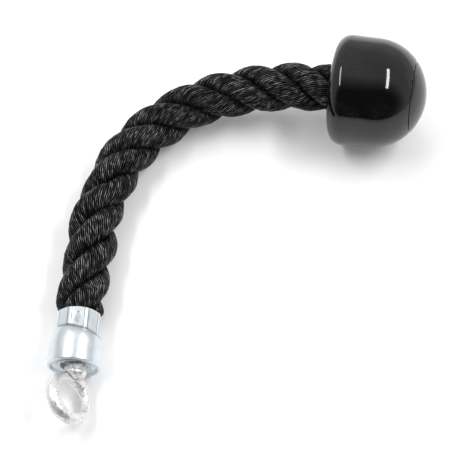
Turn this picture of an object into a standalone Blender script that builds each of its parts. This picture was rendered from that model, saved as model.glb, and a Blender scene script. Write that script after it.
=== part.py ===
"""Triceps rope attachment: a short three-strand rope, a swivel eye on one end and a round stopper on the other.

Units are metres, +Z is up and the part lies on the plane Z = 0, as it does when it is put down.
The origin is under the middle of the part. The ferrule and the stopper each have a frame of their own,
whose Z runs along the piece's axis away from the rope and whose X points up.
"""

import math

import bmesh
import bpy
import numpy as np
from mathutils import Matrix, Vector

# Fits
CLEARANCE = 0.0003
OVERRUN = 0.002

# Rope: strands of one radius laid as helices round the rope's line
ROPE_DIAMETER = 0.028
STRAND_COUNT = 3
LAY_PITCH = 0.0682
LAY_START_DEG = 103.8
STRAND_GAP = 0.0005
STRAND_STEP = 0.004

# Crimped neck: the rope is squeezed into it and swells again as soon as it is out
NECK_SQUEEZE_SHARE = 0.72
FLARE_START = 0.0015
FLARE_LENGTH = 0.011
NECK_LENGTH = 0.0126
NECK_WALL = 0.0013
CRIMP_FLATS = 8
CRIMP_CORNER_RISE = 0.0007
CRIMP_TURN_DEG = -3.0
ROPE_GRIP_LENGTH = 0.0175

# Barrel: the swivel's housing, from the rope side to the eye side
SHOULDER_RISE = 0.0023
SHOULDER_LENGTH = 0.014
SHOULDER_POWER = 2.5
BARREL_WALL = 0.0025
LIP_THICKNESS = 0.0032
LIP_EDGE_FILLET = 0.0026
LIP_RING_WIDTH = 0.0024
LIP_BEVEL_DEPTH = 0.0008
MOUTH_FILLET = 0.0004

# Swivel
STOP_DISC_THICKNESS = 0.0016
RIVET_ROOM = 0.0015
RIVET_LENGTH = 0.0007
NUT_INSET = 0.0008
NUT_HEIGHT = 0.0055
THRUST_WASHER_THICKNESS = 0.0015
SHANK_RADIUS = 0.005
COLLAR_RISE = 0.0012
COLLAR_GAP = 0.0016

# Eye: a round rod bent to a ring, thicker along one limb and where the other limb comes out of the collar,
# leaning and set a little to one side by hand
EYE_HOLE_RADIUS = 0.0092
ROD_RADIUS = 0.00295
ROD_SWELL = 0.001
ROD_SWELL_DEG = 32.0
ROOT_SWELL = 0.0017
ROOT_REACH = 0.0013
ROOT_DEG = 236.0
ROOT_POWER = 5
EYE_STANDOFF = 0.0026
EYE_OFFSET = 0.0013
EYE_LEAN_DEG = 10.3
EYE_TURN_DEG = 41.5

# Stopper, measured along its axis from the plane where the rim's fillet starts
STOPPER_RADIUS = 0.0328
FACE_CROWN = 0.005
RIM_FILLET = 0.0086
BAND_LENGTH = 0.0152
BAND_TAPER = 0.0004
DOME_HEIGHT = 0.0312
CAP_SEAT_WIDTH = 0.003
CAP_SPIGOT_LENGTH = 0.0018
SEAM_FILLET = 0.0005

# Clamp inside the stopper
CLAMP_SQUEEZE_SHARE = 0.87
CLAMP_WALL = 0.003
CLAMP_LENGTH = 0.014
CLAMP_ROOM = 0.0027
CLAMP_END_ROOM = 0.0022
CLAMP_WASHER_THICKNESS = 0.002
SQUEEZE_LENGTH = 0.01
ROPE_END_INSET = 0.0006

# Directions of travel along the rope at its two ends, from +Y towards +X, and the slope at the stopper,
# which the stiff rope holds up so that it lies on the edge of its rim
FERRULE_BEARING_DEG = 3.4
STOPPER_BEARING_DEG = 101.3
STOPPER_LIFT_DEG = 6.0

# Facets
ROUND_STEPS = 48
BORE_STEPS = 24
ROD_POINTS = 26
SMOOTH_ANGLE_DEG = 32.0

# Sizes that follow from the ones above
ROPE_RADIUS = ROPE_DIAMETER / 2
NECK_ROPE_RADIUS = ROPE_RADIUS * NECK_SQUEEZE_SHARE
NECK_BORE_RADIUS = NECK_ROPE_RADIUS + CLEARANCE
NECK_FLAT_RADIUS = NECK_BORE_RADIUS + NECK_WALL
NECK_RADIUS = NECK_FLAT_RADIUS + CRIMP_CORNER_RISE
BARREL_RADIUS = NECK_RADIUS + SHOULDER_RISE
CHAMBER_RADIUS = BARREL_RADIUS - BARREL_WALL

STOP_DISC_DEPTH = ROPE_GRIP_LENGTH + CLEARANCE
SHANK_DEPTH = STOP_DISC_DEPTH + STOP_DISC_THICKNESS + RIVET_ROOM
NUT_DEPTH = SHANK_DEPTH + RIVET_LENGTH
THRUST_WASHER_DEPTH = NUT_DEPTH + NUT_HEIGHT + CLEARANCE
COLLAR_DEPTH = THRUST_WASHER_DEPTH + THRUST_WASHER_THICKNESS + CLEARANCE
FERRULE_LENGTH = COLLAR_DEPTH + LIP_THICKNESS
COLLAR_RADIUS = SHANK_RADIUS + COLLAR_RISE
LIP_BORE_RADIUS = COLLAR_RADIUS + COLLAR_GAP
THRUST_WASHER_RADIUS = CHAMBER_RADIUS - COLLAR_GAP
NUT_CORNER_RADIUS = THRUST_WASHER_RADIUS - NUT_INSET
ROD_LINE_DEPTH = FERRULE_LENGTH + EYE_STANDOFF + ROD_RADIUS
EYE_DEPTH = ROD_LINE_DEPTH + ROD_RADIUS + EYE_HOLE_RADIUS

CLAMP_ROPE_RADIUS = ROPE_RADIUS * CLAMP_SQUEEZE_SHARE
CLAMP_BORE_RADIUS = CLAMP_ROPE_RADIUS + CLEARANCE
CLAMP_RADIUS = CLAMP_BORE_RADIUS + CLAMP_WALL
STOPPER_BORE_RADIUS = ROPE_RADIUS + CLEARANCE
POCKET_RADIUS = CLAMP_RADIUS + CLAMP_ROOM
SEAM_RADIUS = POCKET_RADIUS + CAP_SEAT_WIDTH
DOME_RADIUS = STOPPER_RADIUS - BAND_TAPER
SEAM_ANGLE = math.acos(SEAM_RADIUS / DOME_RADIUS)
DOME_START = RIM_FILLET + BAND_LENGTH
SEAM_DEPTH = DOME_START + DOME_HEIGHT * math.sin(SEAM_ANGLE)
CAP_DEPTH = SEAM_DEPTH + CLEARANCE
CAP_SPIGOT_DEPTH = CAP_DEPTH - CAP_SPIGOT_LENGTH
CLAMP_END_DEPTH = CAP_SPIGOT_DEPTH - CLAMP_END_ROOM
CLAMP_DEPTH = CLAMP_END_DEPTH - CLAMP_LENGTH
CLAMP_WASHER_DEPTH = CLAMP_DEPTH - CLEARANCE - CLAMP_WASHER_THICKNESS
POCKET_DEPTH = CLAMP_WASHER_DEPTH - CLEARANCE
ROPE_END_DEPTH = CLAMP_END_DEPTH - ROPE_END_INSET


def face_depth(radius):
    """Depth of the stopper's crowned face at a radius, negative because it stands out towards the rope."""
    share = radius / (STOPPER_RADIUS - RIM_FILLET)
    return -FACE_CROWN * (1 - share * share) ** 1.5


# Heights of the stopper's axis, at the rim's plane and where the rope goes in
RIM_HEIGHT = (RIM_FILLET + (STOPPER_RADIUS - RIM_FILLET) * math.cos(math.radians(STOPPER_LIFT_DEG))
              - RIM_FILLET * math.sin(math.radians(STOPPER_LIFT_DEG)))
ROPE_ENTRY_DEPTH = face_depth(STOPPER_BORE_RADIUS)
ROPE_ENTRY_HEIGHT = RIM_HEIGHT + ROPE_ENTRY_DEPTH * math.sin(math.radians(STOPPER_LIFT_DEG))


def settled(share):
    """Height of the rope's line as it comes down from the ferrule, 1 at the ferrule and 0 on the floor."""
    return ROPE_RADIUS + share * (BARREL_RADIUS - ROPE_RADIUS)


def raised(share):
    """Height of the rope's line as it goes up to the stopper, 0 on the floor and 1 where it goes in."""
    return ROPE_RADIUS + share * (ROPE_ENTRY_HEIGHT - ROPE_RADIUS)


# The rope's line from the ferrule's mouth to the stopper's face, in the loose hook it lies in
ROUTE = (
    (-0.0917, -0.0518, settled(1.0)),
    (-0.0908, -0.0390, settled(0.78)),
    (-0.0895, -0.0270, settled(0.35)),
    (-0.0879, -0.0151, settled(0.03)),
    (-0.0864, -0.0032, settled(0.0)),
    (-0.0846, 0.0088, raised(0.0)),
    (-0.0822, 0.0206, raised(0.0)),
    (-0.0786, 0.0321, raised(0.0)),
    (-0.0738, 0.0431, raised(0.0)),
    (-0.0676, 0.0534, raised(0.0)),
    (-0.0601, 0.0629, raised(0.018)),
    (-0.0514, 0.0711, raised(0.067)),
    (-0.0416, 0.0779, raised(0.141)),
    (-0.0310, 0.0833, raised(0.236)),
    (-0.0197, 0.0872, raised(0.344)),
    (-0.0082, 0.0898, raised(0.462)),
    (0.0036, 0.0911, raised(0.584)),
    (0.0155, 0.0914, raised(0.703)),
    (0.0273, 0.0910, raised(0.816)),
    (0.0392, 0.0897, raised(0.917)),
    (0.0510, 0.0878, raised(1.0)),
)


# Scene set-up

def clear_scene():
    for obj in list(bpy.data.objects):
        bpy.data.objects.remove(obj, do_unlink=True)


def new_collection(name):
    collection = bpy.data.collections.new(name)
    bpy.context.scene.collection.children.link(collection)
    return collection


def new_material(name, colour, roughness, metallic):
    """A Principled material of one plain colour."""
    material = bpy.data.materials.new(name)
    material.use_nodes = True
    shader = material.node_tree.nodes["Principled BSDF"]
    shader.inputs["Base Color"].default_value = (*colour, 1.0)
    shader.inputs["Roughness"].default_value = roughness
    shader.inputs["Metallic"].default_value = metallic
    material.diffuse_color = (*colour, 1.0)
    return material


def new_object(name, data, collection, parent=None, material=None):
    obj = bpy.data.objects.new(name, data)
    collection.objects.link(obj)
    obj.parent = parent
    if material:
        obj.data.materials.append(material)
    return obj


def axis_frame(name, origin, axis, collection):
    """An empty at origin whose Z is the axis and whose X points up."""
    side = axis.cross(Vector((0, 0, 1))).normalized()
    up = side.cross(axis)
    frame = bpy.data.objects.new(name, None)
    collection.objects.link(frame)
    frame.matrix_world = Matrix.Translation(origin) @ Matrix((up, side, axis)).transposed().to_4x4()
    return frame


# Shapes

def arc(radius, centre, first_deg, last_deg, count, height=None):
    """Points of a circular or elliptical arc in the profile plane, as (distance from axis, depth)."""
    angles = np.radians(np.linspace(first_deg, last_deg, count))
    rise = radius if height is None else height
    return [(centre[0] + radius * math.cos(a), centre[1] + rise * math.sin(a)) for a in angles]


def turned(name, profile, collection, parent, material):
    """A turned piece: the profile runs down its outer side and, where it has a bore, back up the inner one."""
    mesh = bpy.data.meshes.new(name)
    edges = [(i, i + 1) for i in range(len(profile) - 1)]
    if profile[0][0] > 0:
        edges.append((len(profile) - 1, 0))
    mesh.from_pydata([(radius, 0, depth) for radius, depth in profile], edges, [])
    obj = new_object(name, mesh, collection, parent, material)
    screw = obj.modifiers.new("turn", "SCREW")
    screw.axis = "Z"
    screw.steps = ROUND_STEPS
    screw.render_steps = ROUND_STEPS
    screw.use_merge_vertices = True
    screw.merge_threshold = 0.00001
    return obj


def flat_ring(name, inner, outer, depth, thickness, collection, parent, material):
    """A washer, disc with a hole or plain ring between two radii."""
    profile = [(outer, depth + thickness), (outer, depth), (inner, depth), (inner, depth + thickness)]
    return turned(name, profile, collection, parent, material)


def boolean(obj, other, operation):
    modifier = obj.modifiers.new(operation.lower(), "BOOLEAN")
    modifier.operation = operation
    modifier.solver = "EXACT"
    modifier.object = other


def as_cutter(obj):
    obj.hide_render = True
    obj.display_type = "WIRE"


def apply_modifiers(obj):
    """Bakes a piece's modifiers and shades it smooth up to its real edges."""
    bpy.context.view_layer.update()
    evaluated = obj.evaluated_get(bpy.context.evaluated_depsgraph_get())
    mesh = bpy.data.meshes.new_from_object(evaluated)
    mesh.shade_smooth()
    mesh.set_sharp_from_angle(angle=math.radians(SMOOTH_ANGLE_DEG))
    obj.modifiers.clear()
    obj.data = mesh


def rod_curve(name, points, radii, rod_radius, collection, cyclic=False):
    """A round rod or strand along points, its radius at each point given beside it."""
    curve = bpy.data.curves.new(name, "CURVE")
    curve.dimensions = "3D"
    curve.bevel_depth = rod_radius
    curve.bevel_resolution = 3
    curve.render_resolution_u = 0
    curve.use_fill_caps = not cyclic
    spline = curve.splines.new("POLY")
    spline.points.add(len(points) - 1)
    for point, place, radius in zip(spline.points, points, radii):
        point.co = (*place, 1.0)
        point.radius = radius / rod_radius
    spline.use_cyclic_u = cyclic
    return new_object(name, curve, collection)


def as_mesh(curve_object, collection, parent, material):
    """The mesh of a curve, welded closed, in place of the curve itself."""
    bpy.context.view_layer.update()
    evaluated = curve_object.evaluated_get(bpy.context.evaluated_depsgraph_get())
    mesh = bpy.data.meshes.new_from_object(evaluated)
    bm = bmesh.new()
    bm.from_mesh(mesh)
    bmesh.ops.remove_doubles(bm, verts=bm.verts, dist=0.00001)
    bm.to_mesh(mesh)
    bm.free()
    name = curve_object.name
    place = curve_object.matrix_world.copy()
    bpy.data.objects.remove(curve_object)
    obj = new_object(name, mesh, collection, parent, material)
    obj.matrix_world = place
    return obj


# Rope

def heading(bearing_deg, lift_deg=0):
    bearing = math.radians(bearing_deg)
    lift = math.radians(lift_deg)
    return Vector((math.sin(bearing) * math.cos(lift), math.cos(bearing) * math.cos(lift), math.sin(lift)))


def smooth_line(points, first_direction, last_direction, per_span=24):
    """Points of the cubic spline through the given ones that starts and ends in the given directions."""
    places = np.array(points)
    knots = np.r_[0, np.cumsum(np.linalg.norm(np.diff(places, axis=0), axis=1))]
    spans = np.diff(knots)
    slopes = np.diff(places, axis=0) / spans[:, None]
    count = len(places)
    matrix = np.eye(count)
    known = np.zeros((count, 3))
    known[0] = first_direction
    known[-1] = last_direction
    for i in range(1, count - 1):
        before, after = spans[i - 1], spans[i]
        matrix[i, i - 1:i + 2] = after, 2 * (before + after), before
        known[i] = 3 * (after * slopes[i - 1] + before * slopes[i])
    tangents = np.linalg.solve(matrix, known)
    line = []
    for i, span in enumerate(spans):
        for u in np.arange(per_span) / per_span:
            line.append((1 + 2 * u) * (1 - u) ** 2 * places[i] + u * (1 - u) ** 2 * span * tangents[i]
                        + u * u * (3 - 2 * u) * places[i + 1] - u * u * (1 - u) * span * tangents[i + 1])
    line.append(places[-1])
    return np.array(line)


def rope_line():
    """The rope's line from its end in the ferrule to its end in the stopper, and the distance along it
    from the ferrule's mouth."""
    start = heading(FERRULE_BEARING_DEG)
    end = heading(STOPPER_BEARING_DEG, STOPPER_LIFT_DEG)
    line = smooth_line(ROUTE, start, end)
    gripped = np.array([line[0] - (ROPE_GRIP_LENGTH - CLEARANCE) * np.array(start)])
    held = np.array([line[-1] + (ROPE_END_DEPTH - ROPE_ENTRY_DEPTH) * np.array(end)])
    places = np.vstack([gripped, line, held])
    distance = np.r_[0, np.cumsum(np.linalg.norm(np.diff(places, axis=0), axis=1))]
    return places, distance - distance[1]


def strand_radius():
    """The largest strand radius that leaves the strand gap between neighbours laid at this pitch."""
    along = np.linspace(0, LAY_PITCH / STRAND_COUNT, 400)
    half_turn = math.pi * (1 / STRAND_COUNT - along / LAY_PITCH)
    low, high = 0, ROPE_RADIUS / 2
    for _ in range(40):
        radius = (low + high) / 2
        between = np.hypot(2 * (ROPE_RADIUS - radius) * np.sin(half_turn), along).min()
        if between - 2 * radius > STRAND_GAP:
            low = radius
        else:
            high = radius
    return low


def rope_radius_at(distance, face_distance):
    """The rope's own radius: squeezed in the ferrule's neck and in the stopper's clamp."""
    out = np.clip((distance - FLARE_START) / FLARE_LENGTH, 0, 1)
    flared = NECK_ROPE_RADIUS + (ROPE_RADIUS - NECK_ROPE_RADIUS) * (1 - (1 - out) ** 2)
    clamp_distance = face_distance + CLAMP_DEPTH - CLEARANCE - ROPE_ENTRY_DEPTH
    into = np.clip((distance - clamp_distance) / SQUEEZE_LENGTH + 1, 0, 1)
    return flared - (ROPE_RADIUS - CLAMP_ROPE_RADIUS) * into * into * (3 - 2 * into)


def build_rope(collection, material):
    """The strands: each keeps to its helix round the rope's line and is squeezed where the rope is.
    Their ends run straight for one step, so that the rope is cut off square."""
    places, distance = rope_line()
    gripped = np.linspace(distance[0], FLARE_START, round((FLARE_START - distance[0]) / STRAND_STEP) + 1)
    free = np.linspace(FLARE_START, distance[-1], round((distance[-1] - FLARE_START) / STRAND_STEP) + 1)
    stations = np.r_[gripped, free[1:]]
    centre = np.stack([np.interp(stations, distance, places[:, k]) for k in range(3)], axis=1)
    travel = np.gradient(centre, stations, axis=0)
    travel /= np.linalg.norm(travel, axis=1)[:, None]
    right = np.cross(travel, (0, 0, 1))
    right /= np.linalg.norm(right, axis=1)[:, None]
    above = np.cross(right, travel)
    full = strand_radius()
    squeeze = rope_radius_at(stations, distance[-2]) / ROPE_RADIUS
    lay_radius = (ROPE_RADIUS - full) * squeeze
    laid = np.clip(stations, stations[1], stations[-2])
    strands = []
    for number in range(STRAND_COUNT):
        turn = np.radians(LAY_START_DEG + 360 * number / STRAND_COUNT) - 2 * math.pi * laid / LAY_PITCH
        offset = right * np.cos(turn)[:, None] + above * np.sin(turn)[:, None]
        line = centre + offset * lay_radius[:, None]
        strand = rod_curve(f"rope_strand_{number + 1}", line, full * squeeze, full, collection)
        strand.data.materials.append(material)
        strands.append(line)
    gap = min(np.linalg.norm(a[:, None] - b[None], axis=2).min() for a, b in zip(strands, strands[1:]))
    print("least distance between strand lines", round(gap, 5), "strand diameter", round(2 * full, 5))


# Ferrule and swivel

def build_sleeve(parts, cutters, frame, material):
    """Crimped neck with flats, ogive shoulder and round barrel, open at both ends."""
    lip_ring = BARREL_RADIUS - LIP_EDGE_FILLET - LIP_RING_WIDTH
    shoulder = []
    for u in np.linspace(1, 0, 8):
        rise = SHOULDER_RISE * (1 - (1 - u) ** SHOULDER_POWER)
        shoulder.append((NECK_RADIUS + rise, NECK_LENGTH + u * SHOULDER_LENGTH))
    edge = (BARREL_RADIUS - LIP_EDGE_FILLET, FERRULE_LENGTH - LIP_EDGE_FILLET)
    mouth = (NECK_RADIUS - MOUTH_FILLET, MOUTH_FILLET)
    profile = [
        (LIP_BORE_RADIUS, FERRULE_LENGTH - LIP_BEVEL_DEPTH),
        (lip_ring, FERRULE_LENGTH),
        *arc(LIP_EDGE_FILLET, edge, 90, 0, 4),
        *shoulder,
        *arc(MOUTH_FILLET, mouth, 0, -90, 3),
        (NECK_BORE_RADIUS, 0),
        (NECK_BORE_RADIUS, ROPE_GRIP_LENGTH),
        (CHAMBER_RADIUS, ROPE_GRIP_LENGTH),
        (CHAMBER_RADIUS, COLLAR_DEPTH),
        (LIP_BORE_RADIUS, COLLAR_DEPTH),
    ]
    sleeve = turned("ferrule_sleeve", profile, parts, frame, material)

    bm = bmesh.new()
    depth = OVERRUN + NECK_LENGTH
    block = CRIMP_CORNER_RISE + OVERRUN
    width = 2 * NECK_FLAT_RADIUS * math.tan(math.pi / CRIMP_FLATS)
    for number in range(CRIMP_FLATS):
        turn = math.radians(CRIMP_TURN_DEG) + 2 * math.pi * number / CRIMP_FLATS
        middle = Vector((NECK_FLAT_RADIUS + block / 2, 0, NECK_LENGTH - depth / 2))
        size = Matrix.Diagonal((block, width, depth, 1))
        bmesh.ops.create_cube(bm, size=1, matrix=Matrix.Rotation(turn, 4, "Z") @ Matrix.Translation(middle) @ size)
    mesh = bpy.data.meshes.new("crimp_cutter")
    bm.to_mesh(mesh)
    bm.free()
    cutter = new_object("crimp_cutter", mesh, cutters, frame)
    as_cutter(cutter)
    boolean(sleeve, cutter, "DIFFERENCE")
    return sleeve


def build_nut(parts, cutters, frame, material):
    """Hexagonal nut on the shank."""
    middle = Matrix.Translation((0, 0, NUT_DEPTH + NUT_HEIGHT / 2))
    shapes = (
        ("swivel_nut", 6, NUT_CORNER_RADIUS, NUT_HEIGHT),
        ("nut_bore_cutter", BORE_STEPS, SHANK_RADIUS + CLEARANCE, NUT_HEIGHT + 2 * OVERRUN),
    )
    made = []
    for name, sides, radius, height in shapes:
        bm = bmesh.new()
        bmesh.ops.create_cone(bm, cap_ends=True, segments=sides, radius1=radius, radius2=radius, depth=height,
                              matrix=middle)
        mesh = bpy.data.meshes.new(name)
        bm.to_mesh(mesh)
        bm.free()
        made.append(mesh)
    nut = new_object("swivel_nut", made[0], parts, frame, material)
    cutter = new_object("nut_bore_cutter", made[1], cutters, frame)
    as_cutter(cutter)
    boolean(nut, cutter, "DIFFERENCE")
    return nut


def build_eye(parts, cutters, frame, material):
    """Shank and collar turned in one, and the ring, whose rod swells along one limb and at the other's root."""
    neck = COLLAR_RADIUS - COLLAR_RISE
    profile = [
        (0, ROD_LINE_DEPTH + ROD_RADIUS / 2),
        (neck, ROD_LINE_DEPTH + ROD_RADIUS / 2),
        (COLLAR_RADIUS, ROD_LINE_DEPTH - ROD_RADIUS / 2),
        (COLLAR_RADIUS, COLLAR_DEPTH),
        (SHANK_RADIUS, COLLAR_DEPTH),
        (SHANK_RADIUS, SHANK_DEPTH),
        (0, SHANK_DEPTH),
    ]
    eye = turned("eye_bolt", profile, parts, frame, material)

    points = []
    radii = []
    for number in range(ROD_POINTS):
        angle = 2 * math.pi * number / ROD_POINTS
        rod = ROD_RADIUS + ROD_SWELL * math.cos(angle - math.radians(ROD_SWELL_DEG))
        root = max(0, math.cos(angle - math.radians(ROOT_DEG))) ** ROOT_POWER
        reach = EYE_HOLE_RADIUS + rod + ROOT_REACH * root
        points.append((reach * math.cos(angle), 0, reach * math.sin(angle)))
        radii.append(rod + ROOT_SWELL * root)
    curve = rod_curve("eye_ring", points, radii, ROD_RADIUS, cutters, cyclic=True)
    ring = as_mesh(curve, cutters, frame, material)
    lean = Matrix.Rotation(math.radians(EYE_LEAN_DEG), 4, "X")
    ring.matrix_world = frame.matrix_world @ Matrix.Translation((EYE_OFFSET, 0, EYE_DEPTH)) @ lean
    as_cutter(ring)
    boolean(eye, ring, "UNION")
    return eye


def build_ferrule(parts, cutters, zinc, steel):
    """Sleeve and stop disc on the ferrule's axis, washer, nut and eye on the swivel's, which lies beside it
    because the eye's collar rests against one side of the lip's bore. The swivel frame turns about its Z."""
    axis = -heading(FERRULE_BEARING_DEG)
    fixed = axis_frame("ferrule_frame", ROUTE[0], axis, parts)
    swivel = bpy.data.objects.new("swivel_frame", None)
    parts.objects.link(swivel)
    swivel.parent = fixed
    swivel.location = (0, CLEARANCE - COLLAR_GAP, 0)
    swivel.rotation_euler = (0, 0, math.radians(EYE_TURN_DEG))
    bpy.context.view_layer.update()
    seat = CHAMBER_RADIUS - CLEARANCE
    disc = [(0, STOP_DISC_DEPTH + STOP_DISC_THICKNESS), (seat, STOP_DISC_DEPTH + STOP_DISC_THICKNESS),
            (seat, STOP_DISC_DEPTH), (0, STOP_DISC_DEPTH)]
    return [
        build_sleeve(parts, cutters, fixed, zinc),
        turned("rope_stop_disc", disc, parts, fixed, steel),
        flat_ring("thrust_washer", SHANK_RADIUS + CLEARANCE, THRUST_WASHER_RADIUS, THRUST_WASHER_DEPTH,
                  THRUST_WASHER_THICKNESS, parts, swivel, steel),
        build_nut(parts, cutters, swivel, steel),
        build_eye(parts, cutters, swivel, steel),
    ]


# Stopper

def build_stopper(parts, plastic, steel):
    """Bell, dome cap and the clamp inside them, on the stopper's axis."""
    axis = heading(STOPPER_BEARING_DEG, STOPPER_LIFT_DEG)
    origin = Vector(ROUTE[-1]) - axis * ROPE_ENTRY_DEPTH
    frame = axis_frame("stopper_frame", origin, axis, parts)
    bpy.context.view_layer.update()
    seam_deg = math.degrees(SEAM_ANGLE)
    crown_radii = np.linspace(STOPPER_RADIUS - RIM_FILLET, STOPPER_BORE_RADIUS, 6)[1:]
    bell = [
        (SEAM_RADIUS - SEAM_FILLET, SEAM_DEPTH),
        *arc(DOME_RADIUS, (0, DOME_START), seam_deg - 1, 0, 9, DOME_HEIGHT),
        *arc(RIM_FILLET, (STOPPER_RADIUS - RIM_FILLET, RIM_FILLET), 0, -90, 7),
        *[(radius, face_depth(radius)) for radius in crown_radii],
        (STOPPER_BORE_RADIUS, POCKET_DEPTH),
        (POCKET_RADIUS, POCKET_DEPTH),
        (POCKET_RADIUS, SEAM_DEPTH),
    ]
    spigot = POCKET_RADIUS - CLEARANCE
    cap = [
        *arc(DOME_RADIUS, (0, DOME_START), 90, seam_deg + 1, 9, DOME_HEIGHT),
        (SEAM_RADIUS - SEAM_FILLET, CAP_DEPTH),
        (spigot, CAP_DEPTH),
        (spigot, CAP_SPIGOT_DEPTH),
        (0, CAP_SPIGOT_DEPTH),
    ]
    cap[0] = (0, cap[0][1])
    return [
        turned("stopper_bell", bell, parts, frame, plastic),
        turned("dome_cap", cap, parts, frame, plastic),
        flat_ring("clamp_washer", STOPPER_BORE_RADIUS, POCKET_RADIUS - CLEARANCE, CLAMP_WASHER_DEPTH,
                  CLAMP_WASHER_THICKNESS, parts, frame, steel),
        flat_ring("rope_end_clamp", CLAMP_BORE_RADIUS, CLAMP_RADIUS, CLAMP_DEPTH, CLAMP_LENGTH,
                  parts, frame, steel),
    ]


def main():
    clear_scene()
    parts = new_collection("triceps_rope_attachment")
    cutters = new_collection("cutters")
    black_rope = new_material("black_rope", (0.02, 0.02, 0.022), 0.7, 0.0)
    black_plastic = new_material("black_plastic", (0.01, 0.01, 0.011), 0.16, 0.0)
    zinc = new_material("zinc", (0.62, 0.64, 0.67), 0.34, 1.0)
    rough_steel = new_material("rough_steel", (0.5, 0.5, 0.5), 0.5, 1.0)
    build_rope(parts, black_rope)
    for piece in build_ferrule(parts, cutters, zinc, rough_steel) + build_stopper(parts, black_plastic, rough_steel):
        apply_modifiers(piece)


main()
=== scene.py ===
"""Looks of the triceps rope attachment on a white studio floor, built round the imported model.

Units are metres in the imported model's frame. Each visible piece is modelled here at its full detail and
stands for the plain solid of the same place: the laid rope with its yarns, the crimped ferrule, the hand-bent
eye and the glossy stopper. Sizes that the solids have too are repeated from their source. The ferrule's neck,
shoulder and lip are worked finer here than on its solid.
"""

import math

import bpy
import numpy as np
from mathutils import Matrix, Vector, noise


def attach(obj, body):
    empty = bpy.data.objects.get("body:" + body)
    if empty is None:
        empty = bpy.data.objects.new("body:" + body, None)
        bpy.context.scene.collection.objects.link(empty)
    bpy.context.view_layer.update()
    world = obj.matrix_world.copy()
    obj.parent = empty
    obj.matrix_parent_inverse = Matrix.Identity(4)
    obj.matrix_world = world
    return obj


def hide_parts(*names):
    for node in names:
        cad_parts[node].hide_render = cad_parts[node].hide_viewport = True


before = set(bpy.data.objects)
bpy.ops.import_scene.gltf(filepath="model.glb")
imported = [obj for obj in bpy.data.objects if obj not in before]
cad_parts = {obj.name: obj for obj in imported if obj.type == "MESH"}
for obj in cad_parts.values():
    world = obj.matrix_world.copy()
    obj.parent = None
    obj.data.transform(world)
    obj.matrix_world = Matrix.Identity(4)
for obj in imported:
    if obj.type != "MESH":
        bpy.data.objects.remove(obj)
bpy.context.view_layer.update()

# Rope
ROPE_DIAMETER = 0.028
STRAND_COUNT = 3
LAY_PITCH = 0.0682
LAY_START_DEG = 103.8
CREST_RADIUS = 0.0143
STRAND_RADIUS = 0.0072
ROPE_IN_FERRULE = 0.008
ROPE_IN_STOPPER = 0.008
NECK_SQUEEZE_SHARE = 0.72
BULGE_LENGTH = 0.006

# Where the hand-laid rope is fuller: the place along it, the reach and the share that it gains
SWELLS = ((0.056, 0.016, 0.045), (0.100, 0.010, 0.02), (0.134, 0.010, 0.02))

# Where its stiff strands kink it: the place along it, the reach and the shift to the right of travel
SHIFTS = ((0.063, 0.008, -0.0011), (0.081, 0.007, 0.0012), (0.159, 0.006, -0.0008))

# Yarns on the outside of each strand
YARN_COUNT = 27
YARN_HEIGHT = 0.0009
YARN_EDGE_DEG = 76.0
YARN_LIFT = 0.0002
YARN_SWAY_SHARE = 0.18
YARN_TURNS_PER_LAY = 3.1
YARN_MAP_LENGTH = 0.01
YARN_SEED = 7
FILAMENT_SLANT_DEG = 14.0
KNOT_STEP = 0.007

# Ferrule, measured along its axis from its mouth on the rope
CLEARANCE = 0.0003
NECK_WALL = 0.0013
NECK_LENGTH = 0.013
LEDGE_TILT = 0.0017
LEDGE_LENGTH = 0.0005
LEDGE_GROOVE_DEPTH = 0.0006
LEDGE_GROOVE_WIDTH = 0.0006
LEDGE_GROOVE_OFFSET = 0.001
SECOND_GROOVE_DEPTH = 0.00022
SECOND_GROOVE_WIDTH = 0.0003
SECOND_GROOVE_OFFSET = 0.0011
SECOND_GROOVE_DEG = 50.0
SECOND_GROOVE_FADE_POWER = 4
CRIMP_FLATS = 8
CRIMP_CORNER_RISE = 0.0005
CRIMP_TURN_DEG = -3.0
CREASE_DEPTH = 0.00014
CREASE_WIDTH_DEG = 1.3
DENT_DEPTH = 0.0005
DENT_WALL_SHARE = 0.45
DENT_PLACE = 0.0062
DENT_LENGTH = 0.0034
DENT_WIDTH = 0.0017
BARREL_RADIUS = 0.01468
SHOULDER_DROP = 0.0016
SHOULDER_LENGTH = 0.0095
SHOULDER_POWER = 2.2
ROPE_GRIP_LENGTH = 0.0175
CHAMBER_RADIUS = 0.01218
MOUTH_FILLET = 0.0005
FERRULE_LENGTH = 0.0324
LIP_THICKNESS = 0.0032
LIP_EDGE_FILLET = 0.0008
LIP_RIM_WIDTH = 0.0009
LIP_RIM_FILLET = 0.00015
LIP_RECESS_DEPTH = 0.0011
LIP_RECESS_SLOPE = 0.0002
LIP_BEAD_RISE = 0.0005
LIP_BEAD_SHARE = 0.45
LIP_BEAD_WIDTH_SHARE = 0.22

# Painted shade on the ferrule in its press lines and dent, painted shadow in its lip's recess, and its burr,
# which is hardly metallic so that it comes out pale
ZINC_SHADE_SHARE = 0.8
LEDGE_SHADE_SHARE = 0.85
DENT_SHADE_SHARE = 0.35
LIP_SHADE_REACH = 0.0036
LIP_SHADE_FADE = 0.0005
BURR_LENGTH = 0.0009
BURR_END = 0.0014
BURR_METAL_SHARE = 0.25

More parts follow.
